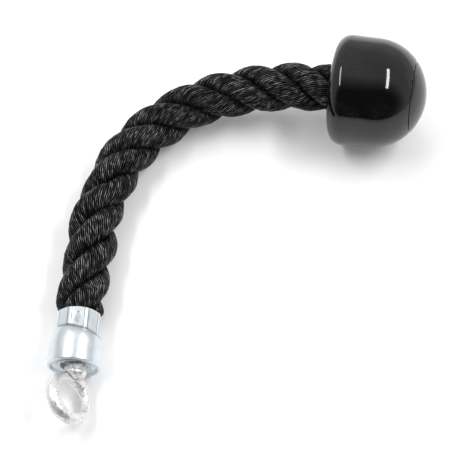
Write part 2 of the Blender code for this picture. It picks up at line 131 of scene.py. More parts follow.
# Eye, measured along the swivel's axis from the same plane
COLLAR_RADIUS = 0.0062
COLLAR_GAP = 0.0016
COLLAR_DEPTH = 0.0292
COLLAR_TOP_DEG = 80.0
COLLAR_TOP_SHARE = 1.5
SHANK_RADIUS = 0.005
SHANK_DEPTH = 0.0209
EYE_DEPTH = 0.0501
EYE_HOLE_RADIUS = 0.0092
EYE_OFFSET = 0.0013
EYE_LEAN_DEG = 10.3
EYE_TURN_DEG = 41.5
ROD_RADIUS = 0.00295
ROD_SWELL = 0.001
ROD_SWELL_DEG = 32.0
ROOT_SWELL = 0.0017
ROOT_REACH = 0.0013
ROOT_DEG = 236.0
ROOT_POWER = 5
WELD_REACH = 0.0007
WELD_DIRT_SHARE = 0.9
STEEL_METAL_SHARE = 0.75
RING_LUMP_HEIGHT = 0.00018
COLLAR_LUMP_HEIGHT = 0.0004
LUMP_GRAIN = 0.0022
FINE_LUMP_SHARE = 0.5
FINE_LUMP_RATE = 2.3

# Stopper, measured along its axis from the plane where the rim's fillet starts
STOPPER_RADIUS = 0.0328
FACE_CROWN = 0.005
FACE_CROWN_POWER = 1.5
RIM_FILLET = 0.0086
BAND_LENGTH = 0.0152
BAND_TAPER = 0.0004
DOME_HEIGHT = 0.0312
SEAM_RADIUS = 0.0212
SEAM_GAP = 0.0003
SEAM_FILLET = 0.0006
LINE_HALF_DEG = 0.7
PARTING_DEG = -50.0
PARTING_DEPTH = 0.00015
POCKET_DEPTH = 0.0205
POCKET_RADIUS = 0.0182

# Directions of travel along the rope at its two ends, from +Y towards +X, and the slope at the stopper
FERRULE_BEARING_DEG = 3.4
STOPPER_BEARING_DEG = 101.3
STOPPER_LIFT_DEG = 6.0

# Facets
SMOOTH_ANGLE_DEG = 40.0
SPLINE_STEPS = 24
ROPE_STEP = 0.00125
YARN_POINTS = 7
FERRULE_STEPS = 320
FERRULE_STEP = 0.0002
LIP_POINTS = 15
LIP_EDGE_POINTS = 12
RING_STEPS = 160
ROD_STEPS = 48
COLLAR_STEPS = 96
COLLAR_STEP = 0.0005
COLLAR_TOP_POINTS = 24
STOPPER_STEPS = 160
DOME_POINTS = 40
RIM_POINTS = 14
CROWN_STEP = 0.0008

# Colours
YARN_DARK = (0.0015, 0.0015, 0.0017)
# The yarns' bright colour is partly a painted highlight for their glints and partly pale wear
YARN_GLINT_AND_WEAR = (0.46, 0.46, 0.455)
ZINC_DULL = (0.655, 0.715, 0.755)
ZINC_CLEAR = (0.76, 0.81, 0.845)
# Painted shade and painted shadow for the ferrule
ZINC_SHADE = (0.09, 0.105, 0.12)
STEEL_CLEAR = (0.86, 0.86, 0.845)
STEEL_PITTED = (0.08, 0.08, 0.077)
WELD_DIRT = (0.05, 0.049, 0.046)
INNER_CLEAR = (0.55, 0.56, 0.57)
INNER_PITTED = (0.2, 0.2, 0.2)
PLASTIC_BLACK = (0.0032, 0.0032, 0.0036)
PLASTIC_RUBBED = (0.035, 0.035, 0.037)
PAPER_WHITE = (0.93, 0.93, 0.935)

# Camera. PIXEL_SIZE is the width of the photograph's pixel at the place that the camera looks at
PHOTO_WIDTH_PX = 470
PIXEL_SIZE = 0.000575
CAMERA_DISTANCE = 0.85
CAMERA_ELEVATION_DEG = 62.5
LOOK_AT = (-0.0049, -0.0018, 0.015)
SENSOR_WIDTH = 36.0

# Studio. The room is dark towards the photographer, and its shades are (closeness to there, grey)
FLOOR_SIZE = 6.0
FLOOR_GLOW = 0.12
ROOM_DARK_ELEVATION_DEG = 30.0
ROOM_NARROWING_SHARE = 0.65
ROOM_SHADES = ((0.52, 0.69), (0.70, 0.32), (0.86, 0.04))

# Lamps: name, place, width and length, power in watts, and whether shiny surfaces show it
LAMPS = (
    ("strip_right", (0.48, 0.05, 0.85), (0.09, 0.66), 3.8, True),
    ("strip_left", (-0.47, 0.1, 0.85), (0.15, 0.66), 3.2, True),
    ("key", (-0.2, 1.0, 1.05), (0.7, 0.7), 4.3, False),
    ("fill_right", (1.0, 0.15, 0.9), (0.8, 0.8), 1.5, False),
)

# Pieces inside the ferrule and the stopper
INNER_NODES = ("swivel_nut", "thrust_washer", "rope_stop_disc", "clamp_washer", "rope_end_clamp")

# Sizes that follow from the ones above
ROPE_RADIUS = ROPE_DIAMETER / 2
NECK_ROPE_RADIUS = ROPE_RADIUS * NECK_SQUEEZE_SHARE
NECK_BORE_RADIUS = NECK_ROPE_RADIUS + CLEARANCE
NECK_FLAT_RADIUS = NECK_BORE_RADIUS + NECK_WALL
NECK_RADIUS = NECK_FLAT_RADIUS + CRIMP_CORNER_RISE
CREASE_DEG = math.degrees(math.acos(NECK_FLAT_RADIUS / NECK_RADIUS))
LIP_BORE_RADIUS = COLLAR_RADIUS + COLLAR_GAP
LIP_RIM_RADIUS = BARREL_RADIUS - LIP_EDGE_FILLET - LIP_RIM_WIDTH
LIP_FLOOR_DEPTH = FERRULE_LENGTH - LIP_RECESS_DEPTH
STOPPER_BORE_RADIUS = ROPE_RADIUS + CLEARANCE
RIM_CENTRE_RADIUS = STOPPER_RADIUS - RIM_FILLET
DOME_RADIUS = STOPPER_RADIUS - BAND_TAPER
DOME_START = RIM_FILLET + BAND_LENGTH
SEAM_ANGLE = math.acos(SEAM_RADIUS / DOME_RADIUS)
SEAM_DEPTH = DOME_START + DOME_HEIGHT * math.sin(SEAM_ANGLE)


def face_depth(radius):
    """Depth of the stopper's crowned face at a radius, negative because it stands out towards the rope."""
    share = radius / RIM_CENTRE_RADIUS
    return -FACE_CROWN * (1 - share * share) ** FACE_CROWN_POWER


STOPPER_LIFT = math.radians(STOPPER_LIFT_DEG)
RIM_HEIGHT = RIM_FILLET + RIM_CENTRE_RADIUS * math.cos(STOPPER_LIFT) - RIM_FILLET * math.sin(STOPPER_LIFT)
ROPE_ENTRY_DEPTH = face_depth(STOPPER_BORE_RADIUS)
ROPE_ENTRY_HEIGHT = RIM_HEIGHT + ROPE_ENTRY_DEPTH * math.sin(STOPPER_LIFT)


def settled(share):
    """Height of the rope's line as it comes down from the ferrule, 1 at the ferrule and 0 on the floor."""
    return ROPE_RADIUS + share * (BARREL_RADIUS - ROPE_RADIUS)


def raised(share):
    """Height of the rope's line as it goes up to the stopper, 0 on the floor and 1 where it goes in."""
    return ROPE_RADIUS + share * (ROPE_ENTRY_HEIGHT - ROPE_RADIUS)


# The rope's line from the ferrule's mouth to the stopper's face, in the loose hook it lies in
ROUTE = (
    (-0.0917, -0.0518, settled(1.0)),
    (-0.0908, -0.0390, settled(0.78)),
    (-0.0895, -0.0270, settled(0.35)),
    (-0.0879, -0.0151, settled(0.03)),
    (-0.0864, -0.0032, settled(0.0)),
    (-0.0846, 0.0088, raised(0.0)),
    (-0.0822, 0.0206, raised(0.0)),
    (-0.0786, 0.0321, raised(0.0)),
    (-0.0738, 0.0431, raised(0.0)),
    (-0.0676, 0.0534, raised(0.0)),
    (-0.0601, 0.0629, raised(0.018)),
    (-0.0514, 0.0711, raised(0.067)),
    (-0.0416, 0.0779, raised(0.141)),
    (-0.0310, 0.0833, raised(0.236)),
    (-0.0197, 0.0872, raised(0.344)),
    (-0.0082, 0.0898, raised(0.462)),
    (0.0036, 0.0911, raised(0.584)),
    (0.0155, 0.0914, raised(0.703)),
    (0.0273, 0.0910, raised(0.816)),
    (0.0392, 0.0897, raised(0.917)),
    (0.0510, 0.0878, raised(1.0)),
)


# Frames

def heading(bearing_deg, lift_deg=0):
    """The direction at a bearing from +Y towards +X and at a slope."""
    bearing = math.radians(bearing_deg)
    lift = math.radians(lift_deg)
    return Vector((math.sin(bearing) * math.cos(lift), math.cos(bearing) * math.cos(lift), math.sin(lift)))


def axis_frame(origin, axis):
    """The matrix at origin whose Z is the axis and whose X points up."""
    side = axis.cross(Vector((0, 0, 1))).normalized()
    up = side.cross(axis)
    return Matrix.Translation(origin) @ Matrix((up, side, axis)).transposed().to_4x4()


FERRULE_FRAME = axis_frame(ROUTE[0], -heading(FERRULE_BEARING_DEG))
EYE_FRAME = (FERRULE_FRAME @ Matrix.Translation((0, CLEARANCE - COLLAR_GAP, 0))
             @ Matrix.Rotation(math.radians(EYE_TURN_DEG), 4, "Z"))
STOPPER_AXIS = heading(STOPPER_BEARING_DEG, STOPPER_LIFT_DEG)
STOPPER_FRAME = axis_frame(Vector(ROUTE[-1]) - STOPPER_AXIS * ROPE_ENTRY_DEPTH, STOPPER_AXIS)


# Shapes

def clamped(value):
    """The value, kept between 0 and 1."""
    return min(1, max(0, value))


def eased(share):
    """A share from 0 to 1 with soft ends."""
    return share * share * (3 - 2 * share)


def steps_between(first, last, size):
    """Evenly spaced numbers from first to last, both included, no more than size apart."""
    return np.linspace(first, last, max(2, math.ceil(abs(last - first) / size) + 1))


def arc(radius, centre, first_deg, last_deg, count, height=None):
    """Points of a circular or elliptical arc in the profile plane, as (distance from axis, depth)."""
    angles = np.radians(np.linspace(first_deg, last_deg, count))
    rise = radius if height is None else height
    return [(centre[0] + radius * math.cos(a), centre[1] + rise * math.sin(a)) for a in angles]


def turned(profile, steps, reshape=None, closed=True):
    """Points and faces of a turned form.

    The profile runs down its outer side and back up the inner one, or from the axis to the axis.
    reshape(radius, depth, angle) may change a radius, as a press does to a tube.
    """
    angles = 2 * math.pi * np.arange(steps) / steps
    points = []
    rings = []
    for radius, depth in profile:
        if radius == 0:
            rings.append([len(points)] * steps)
            points.append((0, 0, depth))
            continue
        rings.append(list(range(len(points), len(points) + steps)))
        for angle in angles:
            out = reshape(radius, depth, angle) if reshape else radius
            points.append((out * math.cos(angle), out * math.sin(angle), depth))
    pairs = list(zip(rings, rings[1:]))
    if closed and profile[0][0] > 0:
        pairs.append((rings[-1], rings[0]))
    faces = []
    for upper, lower in pairs:
        for i in range(steps):
            j = (i + 1) % steps
            corners = [upper[i], lower[i], lower[j], upper[j]]
            corners = [c for n, c in enumerate(corners) if c not in corners[:n]]
            if len(corners) > 2:
                faces.append(corners)
    return points, faces


def add_piece(name, points, faces, matrix, material, body):
    """A smooth-shaded mesh in place on its body."""
    mesh = bpy.data.meshes.new(name)
    mesh.from_pydata([tuple(p) for p in points], [], faces)
    mesh.validate()
    mesh.shade_smooth()
    mesh.set_sharp_from_angle(angle=math.radians(SMOOTH_ANGLE_DEG))
    mesh.materials.append(material)
    piece = bpy.data.objects.new(name, mesh)
    bpy.context.scene.collection.objects.link(piece)
    piece.matrix_world = matrix
    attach(piece, body)
    return piece


def mark(piece, name, values):
    """Gives each point of a piece a number, which its material reads by name."""
    layer = piece.data.attributes.new(name, "FLOAT", "POINT")
    layer.data.foreach_set("value", np.array(values, np.float32))


# Shader nodes

def new_material(name):
    """A material with its shader, and its nodes and links."""
    material = bpy.data.materials.new(name)
    material.use_nodes = True
    tree = material.node_tree
    return material, tree.nodes["Principled BSDF"], tree.nodes, tree.links


def node(nodes, kind, **inputs):
    """A shader node with some of its sockets set."""
    made = nodes.new(kind)
    for socket, value in inputs.items():
        made.inputs[socket.replace("_", " ")].default_value = value
    return made


def object_place(nodes):
    """The place on a piece, in its own frame."""
    return nodes.new("ShaderNodeTexCoord").outputs["Object"]


def marked(nodes, name):
    """The number that a piece's points were given under a name."""
    made = nodes.new("ShaderNodeAttribute")
    made.attribute_name = name
    return made.outputs["Fac"]


def part_of(nodes, links, source, axis):
    """One of the three numbers of a place."""
    made = nodes.new("ShaderNodeSeparateXYZ")
    links.new(source, made.inputs[0])
    return made.outputs[axis]


def math_node(nodes, links, operation, first, second):
    """The result of a number from a socket and one from a socket or a value."""
    made = nodes.new("ShaderNodeMath")
    made.operation = operation
    links.new(first, made.inputs[0])
    if isinstance(second, float):
        made.inputs[1].default_value = second
    else:
        links.new(second, made.inputs[1])
    return made.outputs[0]


def product(nodes, links, first, *others):
    """The product of a number from a socket and others from sockets or values."""
    for other in others:
        first = math_node(nodes, links, "MULTIPLY", first, other)
    return first


def ramp(nodes, links, source, stops):
    """What a number becomes on a ramp of (place, grey or colour) stops."""
    made = nodes.new("ShaderNodeValToRGB")
    elements = made.color_ramp.elements
    while len(elements) < len(stops):
        elements.new(0.5)
    for element, (place, colour) in zip(elements, stops):
        element.position = place
        element.color = (*colour, 1.0) if isinstance(colour, tuple) else (colour, colour, colour, 1.0)
    links.new(source, made.inputs["Fac"])
    return made.outputs["Color"]


def mixed(nodes, links, share, first, second):
    """A mix of two colours, the first from a socket or a value, by the share that the second has."""
    made = nodes.new("ShaderNodeMix")
    made.data_type = "RGBA"
    links.new(share, made.inputs["Factor"])
    if isinstance(first, tuple):
        made.inputs[6].default_value = (*first, 1.0)
    else:
        links.new(first, made.inputs[6])
    made.inputs[7].default_value = (*second, 1.0)
    return made.outputs[2]


def stretched_noise(nodes, links, source, scale, detail=2.0):
    """Noise on a place stretched by scale, one number per axis."""
    mapping = nodes.new("ShaderNodeMapping")
    mapping.inputs["Scale"].default_value = scale
    texture = node(nodes, "ShaderNodeTexNoise", Scale=1.0, Detail=detail)
    links.new(source, mapping.inputs["Vector"])
    links.new(mapping.outputs["Vector"], texture.inputs["Vector"])
    return texture.outputs["Fac"]


def even_noise(nodes, links, source, rate, detail=2.0):
    """Noise that is as fine along every axis, by its rate in lumps per metre."""
    return stretched_noise(nodes, links, source, (rate, rate, rate), detail)


def add_bump(nodes, links, height, distance, strength, below=None):
    """Relief from a height between 0 and 1, at most distance deep, on top of the relief below it."""
    bump = node(nodes, "ShaderNodeBump", Strength=strength, Distance=distance)
    links.new(height, bump.inputs["Height"])
    if below:
        links.new(below, bump.inputs["Normal"])
    return bump.outputs["Normal"]


# Materials

def rope_material():
    """Black multifilament yarn with painted shade in its grooves and in the valleys between the strands, and
    with painted highlights as bright dashes along its back in patches of pale wear; its reflection is painted
    the same way.

    The map counts yarns across and goes along the rope.
    """
    material, shader, nodes, links = new_material("black_rope")
    uv = nodes.new("ShaderNodeUVMap")
    uv.uv_map = "yarn"
    place = uv.outputs["UV"]
    slant = nodes.new("ShaderNodeMapping")
    slant.inputs["Rotation"].default_value = (0, 0, math.radians(FILAMENT_SLANT_DEG))
    links.new(place, slant.inputs["Vector"])
    slanted = slant.outputs["Vector"]
    filaments = stretched_noise(nodes, links, slanted, (9.0, 0.9, 1.0), 3.0)
    patches = stretched_noise(nodes, links, place, (0.35, 0.7, 1.0))
    breaks = stretched_noise(nodes, links, slanted, (1.5, 5.5, 1.0))
    # Painted shade in the grooves between the yarns: only the middle of each yarn's back can be bright
    fold = math_node(nodes, links, "PINGPONG", part_of(nodes, links, place, "X"), 0.5)
    back = ramp(nodes, links, fold, [(0.31, 0.0), (0.43, 1.0)])
    # Painted shade in the valleys between the strands, and painted highlight where the strands face out
    outside = ramp(nodes, links, marked(nodes, "outside"), [(0.46, 0.0), (0.78, 1.0)])
    dashes = ramp(nodes, links, breaks, [(0.42, 0.08), (0.53, 0.32), (0.60, 1.0)])
    worn = ramp(nodes, links, patches, [(0.38, 0.12), (0.62, 1.0)])
    fibres = ramp(nodes, links, filaments, [(0.38, 0.45), (0.60, 1.0)])
    # Painted highlights: bright dashes on the yarns' backs where the strands face out, in patches of pale
    # wear
    lit = product(nodes, links, dashes, worn, back, fibres, outside)
    links.new(mixed(nodes, links, lit, YARN_DARK, YARN_GLINT_AND_WEAR), shader.inputs["Base Color"])
    links.new(ramp(nodes, links, breaks, [(0.40, 0.55), (0.58, 0.2)]), shader.inputs["Roughness"])
    # Painted reflection: the yarns reflect fully only on the dashes and hardly at all in the grooves and
    # valleys, which is painted shade
    painted_reflection = product(nodes, links, outside, back, dashes)
    links.new(ramp(nodes, links, painted_reflection, [(0.0, 0.03), (0.8, 1.0)]), shader.inputs["Specular Tint"])
    shader.inputs["Specular IOR Level"].default_value = 0.7
    broken = add_bump(nodes, links, breaks, 0.0002, 1.0)
    links.new(add_bump(nodes, links, filaments, 0.00012, 0.8, broken), shader.inputs["Normal"])
    return material


def zinc_material():
    """Satin zinc plate, faintly blue, with fine turning marks, painted shade in its press lines and dent, a
    painted shadow in its lip's recess and a bright burr.
    """
    material, shader, nodes, links = new_material("zinc")
    place = object_place(nodes)
    marks = stretched_noise(nodes, links, place, (60.0, 60.0, 2600.0), 3.0)
    clouds = stretched_noise(nodes, links, place, (190.0, 190.0, 150.0), 4.0)
    grain = even_noise(nodes, links, place, 2600.0)
    plate = ramp(nodes, links, clouds, [(0.3, ZINC_DULL), (0.7, ZINC_CLEAR)])
    # Painted shade in the press lines and dent, and painted shadow in the lip's recess
    painted_shade = product(nodes, links, marked(nodes, "crevice"), ZINC_SHADE_SHARE)
    links.new(mixed(nodes, links, painted_shade, plate, ZINC_SHADE), shader.inputs["Base Color"])
    burr = node(nodes, "ShaderNodeMapRange", From_Min=BURR_LENGTH, From_Max=BURR_END, To_Min=BURR_METAL_SHARE)
    links.new(part_of(nodes, links, place, "Z"), burr.inputs["Value"])
    links.new(burr.outputs["Result"], shader.inputs["Metallic"])
    links.new(ramp(nodes, links, clouds, [(0.3, 0.34), (0.7, 0.44)]), shader.inputs["Roughness"])
    turned_marks = add_bump(nodes, links, marks, 0.00003, 0.35)
    links.new(add_bump(nodes, links, grain, 0.00002, 0.3, turned_marks), shader.inputs["Normal"])
    return material


def galvanised_material(name, clear, pitted, rough):
    """Rough galvanised steel: pale zinc with pits, and dirt along its welds."""
    material, shader, nodes, links = new_material(name)
    place = object_place(nodes)
    lumps = even_noise(nodes, links, place, 420.0, 5.0)
    pits = even_noise(nodes, links, place, 1300.0, 4.0)
    plate = ramp(nodes, links, pits, [(0.30, pitted), (0.41, clear), (1.0, clear)])
    weld = product(nodes, links, marked(nodes, "crevice"), WELD_DIRT_SHARE)
    links.new(mixed(nodes, links, weld, plate, WELD_DIRT), shader.inputs["Base Color"])
    gloss = ramp(nodes, links, lumps, [(0.35, rough + 0.16), (0.62, rough - 0.14)])
    links.new(gloss, shader.inputs["Roughness"])
    shader.inputs["Metallic"].default_value = STEEL_METAL_SHARE
    coarse = add_bump(nodes, links, lumps, 0.0003, 0.5)
    links.new(add_bump(nodes, links, pits, 0.00008, 0.5, coarse), shader.inputs["Normal"])
    return material


def stopper_material():
    """Glossy black moulding with a faint ripple, and specks where it has been rubbed."""
    material, shader, nodes, links = new_material("black_plastic")
    place = object_place(nodes)
    ripple = even_noise(nodes, links, place, 70.0)
    rubs = even_noise(nodes, links, place, 1900.0, 4.0)
    areas = even_noise(nodes, links, place, 55.0)
    rubbed = ramp(nodes, links, areas, [(0.46, 0.0), (0.62, 1.0)])
    specks = product(nodes, links, rubbed, ramp(nodes, links, rubs, [(0.5, 0.0), (0.72, 1.0)]))
    links.new(mixed(nodes, links, specks, PLASTIC_BLACK, PLASTIC_RUBBED), shader.inputs["Base Color"])
    links.new(ramp(nodes, links, rubs, [(0.5, 0.04), (0.75, 0.14)]), shader.inputs["Roughness"])
    shader.inputs["IOR"].default_value = 1.5
    links.new(add_bump(nodes, links, ripple, 0.0006, 0.12), shader.inputs["Normal"])
    return material


# Rope

def smooth_line(points, first_direction, last_direction):
    """Points of the cubic spline through the given ones that starts and ends in the given directions."""
    places = np.array(points)
    knots = np.r_[0, np.cumsum(np.linalg.norm(np.diff(places, axis=0), axis=1))]
    spans = np.diff(knots)
    slopes = np.diff(places, axis=0) / spans[:, None]
    count = len(places)
    matrix = np.eye(count)
    known = np.zeros((count, 3))
    known[0] = first_direction
    known[-1] = last_direction
    for i in range(1, count - 1):
        before, after = spans[i - 1], spans[i]
        matrix[i, i - 1:i + 2] = after, 2 * (before + after), before
        known[i] = 3 * (after * slopes[i - 1] + before * slopes[i])
    tangents = np.linalg.solve(matrix, known)
    line = []
    for i, span in enumerate(spans):
        for u in np.arange(SPLINE_STEPS) / SPLINE_STEPS:
            line.append((1 + 2 * u) * (1 - u) ** 2 * places[i] + u * (1 - u) ** 2 * span * tangents[i]
                        + u * u * (3 - 2 * u) * places[i + 1] - u * u * (1 - u) * span * tangents[i + 1])
    line.append(places[-1])
    return np.array(line)


def rope_line():
    """The rope's line with its ends in the ferrule and the stopper, and the way along it from the mouth."""
    start = heading(FERRULE_BEARING_DEG)
    line = smooth_line(ROUTE, start, STOPPER_AXIS)
    gripped = np.array([line[0] - ROPE_IN_FERRULE * np.array(start)])
    held = np.array([line[-1] + ROPE_IN_STOPPER * np.array(STOPPER_AXIS)])
    places = np.vstack([gripped, line, held])
    distance = np.r_[0, np.cumsum(np.linalg.norm(np.diff(places, axis=0), axis=1))]
    return places, distance - distance[1]


def places_at(stations, places, distance):
    """Places on a line at the given distances along it."""
    return np.stack([np.interp(stations, distance, places[:, k]) for k in range(3)], axis=1)


def unit(rows):
    """The rows of an array at length 1."""
    return rows / np.linalg.norm(rows, axis=1)[:, None]


def travel_and_right(line, stations):
    """Directions of travel along a line and to the right of it."""
    travel = unit(np.gradient(line, stations, axis=0))
    return travel, unit(np.cross(travel, (0, 0, 1)))


def shifted(centre, stations):
    """The rope's line with the small kinks that its stiff strands give it."""
    right = travel_and_right(centre, stations)[1]
    for place, reach, offset in SHIFTS:
        centre = centre + right * (offset * np.exp(-((stations - place) / reach) ** 2))[:, None]
    return centre


def fullness(stations):
    """How much fuller than usual the hand-laid rope is at each place."""
    share = np.ones(len(stations))
    for place, reach, extra in SWELLS:
        share += extra * np.exp(-((stations - place) / reach) ** 2)
    return share


def wander(stations, random):
    """A smooth random run along the rope, about 1 at its largest."""
    knots = np.arange(stations[0] - KNOT_STEP, stations[-1] + 2 * KNOT_STEP, KNOT_STEP)
    values = random.uniform(-1, 1, len(knots))
    place = (stations - knots[0]) / KNOT_STEP
    index = np.floor(place).astype(int)
    share = eased(place - index)
    return values[index] * (1 - share) + values[index + 1] * share


def strand_frames(centre, stations, start_deg):
    """A strand's middle line with its directions out of the rope and sideways."""
    travel, right = travel_and_right(centre, stations)
    above = np.cross(right, travel)
    turn = math.radians(start_deg) - 2 * math.pi * stations / LAY_PITCH
    outward = right * np.cos(turn)[:, None] + above * np.sin(turn)[:, None]
    line = centre + outward * (CREST_RADIUS - STRAND_RADIUS)
    along = unit(np.gradient(line, stations, axis=0))
    outward = unit(outward - along * (outward * along).sum(1)[:, None])
    return line, outward, np.cross(along, outward)


def yarn_profile():
    """Places across one yarn from -1 to 1 and the height of its round back there, from 0 to 1."""
    angles = np.radians(np.linspace(-YARN_EDGE_DEG, YARN_EDGE_DEG, YARN_POINTS + 1)[:-1])
    edge = math.radians(YARN_EDGE_DEG)
    return np.sin(angles) / math.sin(edge), (np.cos(angles) - math.cos(edge)) / (1 - math.cos(edge))


def yarn_lines(stations, random):
    """Angles and radii of the lines that run along the yarns of a strand, in one column each."""
    across, height = yarn_profile()
    twist = -YARN_TURNS_PER_LAY * 2 * math.pi * stations / LAY_PITCH
    angles = []
    radii = []
    for yarn in range(YARN_COUNT):
        sway = YARN_SWAY_SHARE * wander(stations, random)
        lift = YARN_LIFT * wander(stations, random)
        for place, rise in zip(across, height):
            angles.append(twist + (2 * yarn + place + sway * (1 - place * place)) * math.pi / YARN_COUNT)
            radii.append(STRAND_RADIUS - YARN_HEIGHT * (1 - rise) + lift * rise)
    return np.array(angles).T, np.array(radii).T


def strand_surface(centre, stations, start_deg, random):
    """A strand's points in rows round it, and how far each faces out of the rope, from 0 to 1."""
    line, outward, sideways = strand_frames(centre, stations, start_deg)
    angles, radii = yarn_lines(stations, random)
    rows = (line[:, None] + radii[..., None] * (np.cos(angles)[..., None] * outward[:, None]
                                                + np.sin(angles)[..., None] * sideways[:, None]))
    rows = centre[:, None] + (rows - centre[:, None]) * fullness(stations)[:, None, None]
    return rows.reshape(-1, 3), 0.5 + 0.5 * np.cos(angles).ravel()


def strand_quads(number, stations):
    """The corners of a strand's quads, and the place of each corner on the yarns' map."""
    around = YARN_COUNT * YARN_POINTS
    row, column = np.meshgrid(np.arange(len(stations) - 1), np.arange(around), indexing="ij")
    first = (number * len(stations) + row) * around
    corner = first + column
    beside = first + (column + 1) % around
    quads = np.stack([corner, beside, beside + around, corner + around], axis=-1)
    left = column / YARN_POINTS + YARN_COUNT * number
    right = left + 1 / YARN_POINTS
    low = stations[row] / YARN_MAP_LENGTH
    high = stations[row + 1] / YARN_MAP_LENGTH
    places = np.stack([left, low, right, low, right, high, left, high], axis=-1)
    return quads.reshape(-1, 4), places.reshape(-1, 2)


def squeezed(points):
    """The rope's points drawn in where the ferrule grips it. Past the ferrule's mouth it swells out again."""
    origin = np.array(ROUTE[0])
    axis = np.array(heading(FERRULE_BEARING_DEG))
    along = (points - origin) @ axis
    middle = origin + along[:, None] * axis
    out = np.clip((along - CLEARANCE) / BULGE_LENGTH, 0, 1)
    share = NECK_SQUEEZE_SHARE + (1 - NECK_SQUEEZE_SHARE) * (1 - (1 - out) ** 3)
    return middle + (points - middle) * share[:, None]


def build_rope(material):
    """Three strands, each a bundle whose outer yarns run along the rope."""
    places, distance = rope_line()
    stations = steps_between(distance[0], distance[-1], ROPE_STEP)
    centre = shifted(places_at(stations, places, distance), stations)
    random = np.random.default_rng(YARN_SEED)
    surfaces = []
    grids = []
    for number in range(STRAND_COUNT):
        start_deg = LAY_START_DEG + 360 * number / STRAND_COUNT
        surfaces.append(strand_surface(centre, stations, start_deg, random))
        grids.append(strand_quads(number, stations))
    points, outside = [np.concatenate(parts) for parts in zip(*surfaces)]
    quads, map_places = [np.concatenate(parts) for parts in zip(*grids)]
    points = squeezed(points)
    points[:, 2] = np.maximum(points[:, 2], CLEARANCE)
    rope = add_piece("rope", points, quads.tolist(), Matrix.Identity(4), material, "rope")
    yarn_map = rope.data.uv_layers.new(name="yarn")
    yarn_map.data.foreach_set("uv", map_places.astype(np.float32).ravel())
    # The material paints shade in the valleys between the strands from how far each point faces out
    mark(rope, "outside", outside)
    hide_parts(*[f"rope_strand_{n + 1}" for n in range(STRAND_COUNT)])


# Ferrule

def ledge_end(angle):
    """Depth at which the pressed neck ends, which runs askew because the press stood askew."""
    return NECK_LENGTH - LEDGE_TILT * math.sin(angle)


def off_flat(angle):
    """Angle from the middle of the nearest flat of the crimp."""
    sector = 2 * math.pi / CRIMP_FLATS
    turn = angle - math.radians(CRIMP_TURN_DEG)
    return (turn + sector / 2) % sector - sector / 2


def dent_wall(depth, angle):
    """How far inside the press's dent a place is, 0 outside and 1 on its floor."""
    turn = angle - math.radians(CRIMP_TURN_DEG)
    if math.cos(turn) < 0:
        return 0
    along = (depth - DENT_PLACE) / DENT_LENGTH
    across = NECK_FLAT_RADIUS * math.sin(turn) / DENT_WIDTH
    return min(1, max(0, 1 - along * along - across * across) / DENT_WALL_SHARE)


def press_lines(depth, angle):
    """How deep in each line of the press a place is, 1 at its bottom: the ledge, its double, a crease."""
    end = ledge_end(angle)
    ledge = math.exp(-((depth - end + LEDGE_GROOVE_OFFSET) / LEDGE_GROOVE_WIDTH) ** 2)
    double = math.exp(-((depth - end - SECOND_GROOVE_OFFSET) / SECOND_GROOVE_WIDTH) ** 2)
    double *= max(0, math.cos(angle + math.radians(SECOND_GROOVE_DEG))) ** SECOND_GROOVE_FADE_POWER
    crease = math.exp(-((abs(math.degrees(off_flat(angle))) - CREASE_DEG) / CREASE_WIDTH_DEG) ** 2)
    return ledge, double, crease if depth < end else 0


def pressed_neck(radius, depth, angle):
    """The radius of the sleeve's outside once the press has flattened the neck."""
    if radius < NECK_FLAT_RADIUS or depth > NECK_LENGTH + SHOULDER_LENGTH:
        return radius
    pressed = min(NECK_FLAT_RADIUS / math.cos(off_flat(angle)), NECK_RADIUS)
    pressed -= DENT_DEPTH * eased(dent_wall(depth, angle))
    ledge, double, crease = press_lines(depth, angle)
    pressed -= LEDGE_GROOVE_DEPTH * ledge + CREASE_DEPTH * crease
    share = eased(clamped((depth - ledge_end(angle)) / LEDGE_LENGTH))
    return min(radius, pressed + (radius - pressed) * share) - SECOND_GROOVE_DEPTH * double


def lip_outline():
    """The recessed end face with its soft bead, the rim round it and the barrel's rounded edge."""
    outline = []
    for share in np.linspace(0, 1, LIP_POINTS):
        radius = LIP_BORE_RADIUS + share * (LIP_RIM_RADIUS - LIP_RECESS_SLOPE - LIP_BORE_RADIUS)
        bead = math.exp(-((share - LIP_BEAD_SHARE) / LIP_BEAD_WIDTH_SHARE) ** 2)
        outline.append((radius, LIP_FLOOR_DEPTH + LIP_BEAD_RISE * bead))
    edge = (BARREL_RADIUS - LIP_EDGE_FILLET, FERRULE_LENGTH - LIP_EDGE_FILLET)
    return [
        *outline,
        (LIP_RIM_RADIUS, FERRULE_LENGTH - LIP_RIM_FILLET),
        (LIP_RIM_RADIUS + LIP_RIM_FILLET, FERRULE_LENGTH),
        *arc(LIP_EDGE_FILLET, edge, 90, 0, LIP_EDGE_POINTS),
    ]


def shoulder_outline():
    """The barrel's side, its rounded shoulder and the tube below, which the press flattens."""
    start = NECK_LENGTH - LEDGE_TILT
    outline = []
    for depth in steps_between(start + SHOULDER_LENGTH, start, FERRULE_STEP):
        share = (depth - start) / SHOULDER_LENGTH
        outline.append((BARREL_RADIUS - SHOULDER_DROP * (1 - share) ** SHOULDER_POWER, depth))
    tube = outline[-1][0]
    return outline + [(tube, depth) for depth in steps_between(start, MOUTH_FILLET, FERRULE_STEP)[1:]]


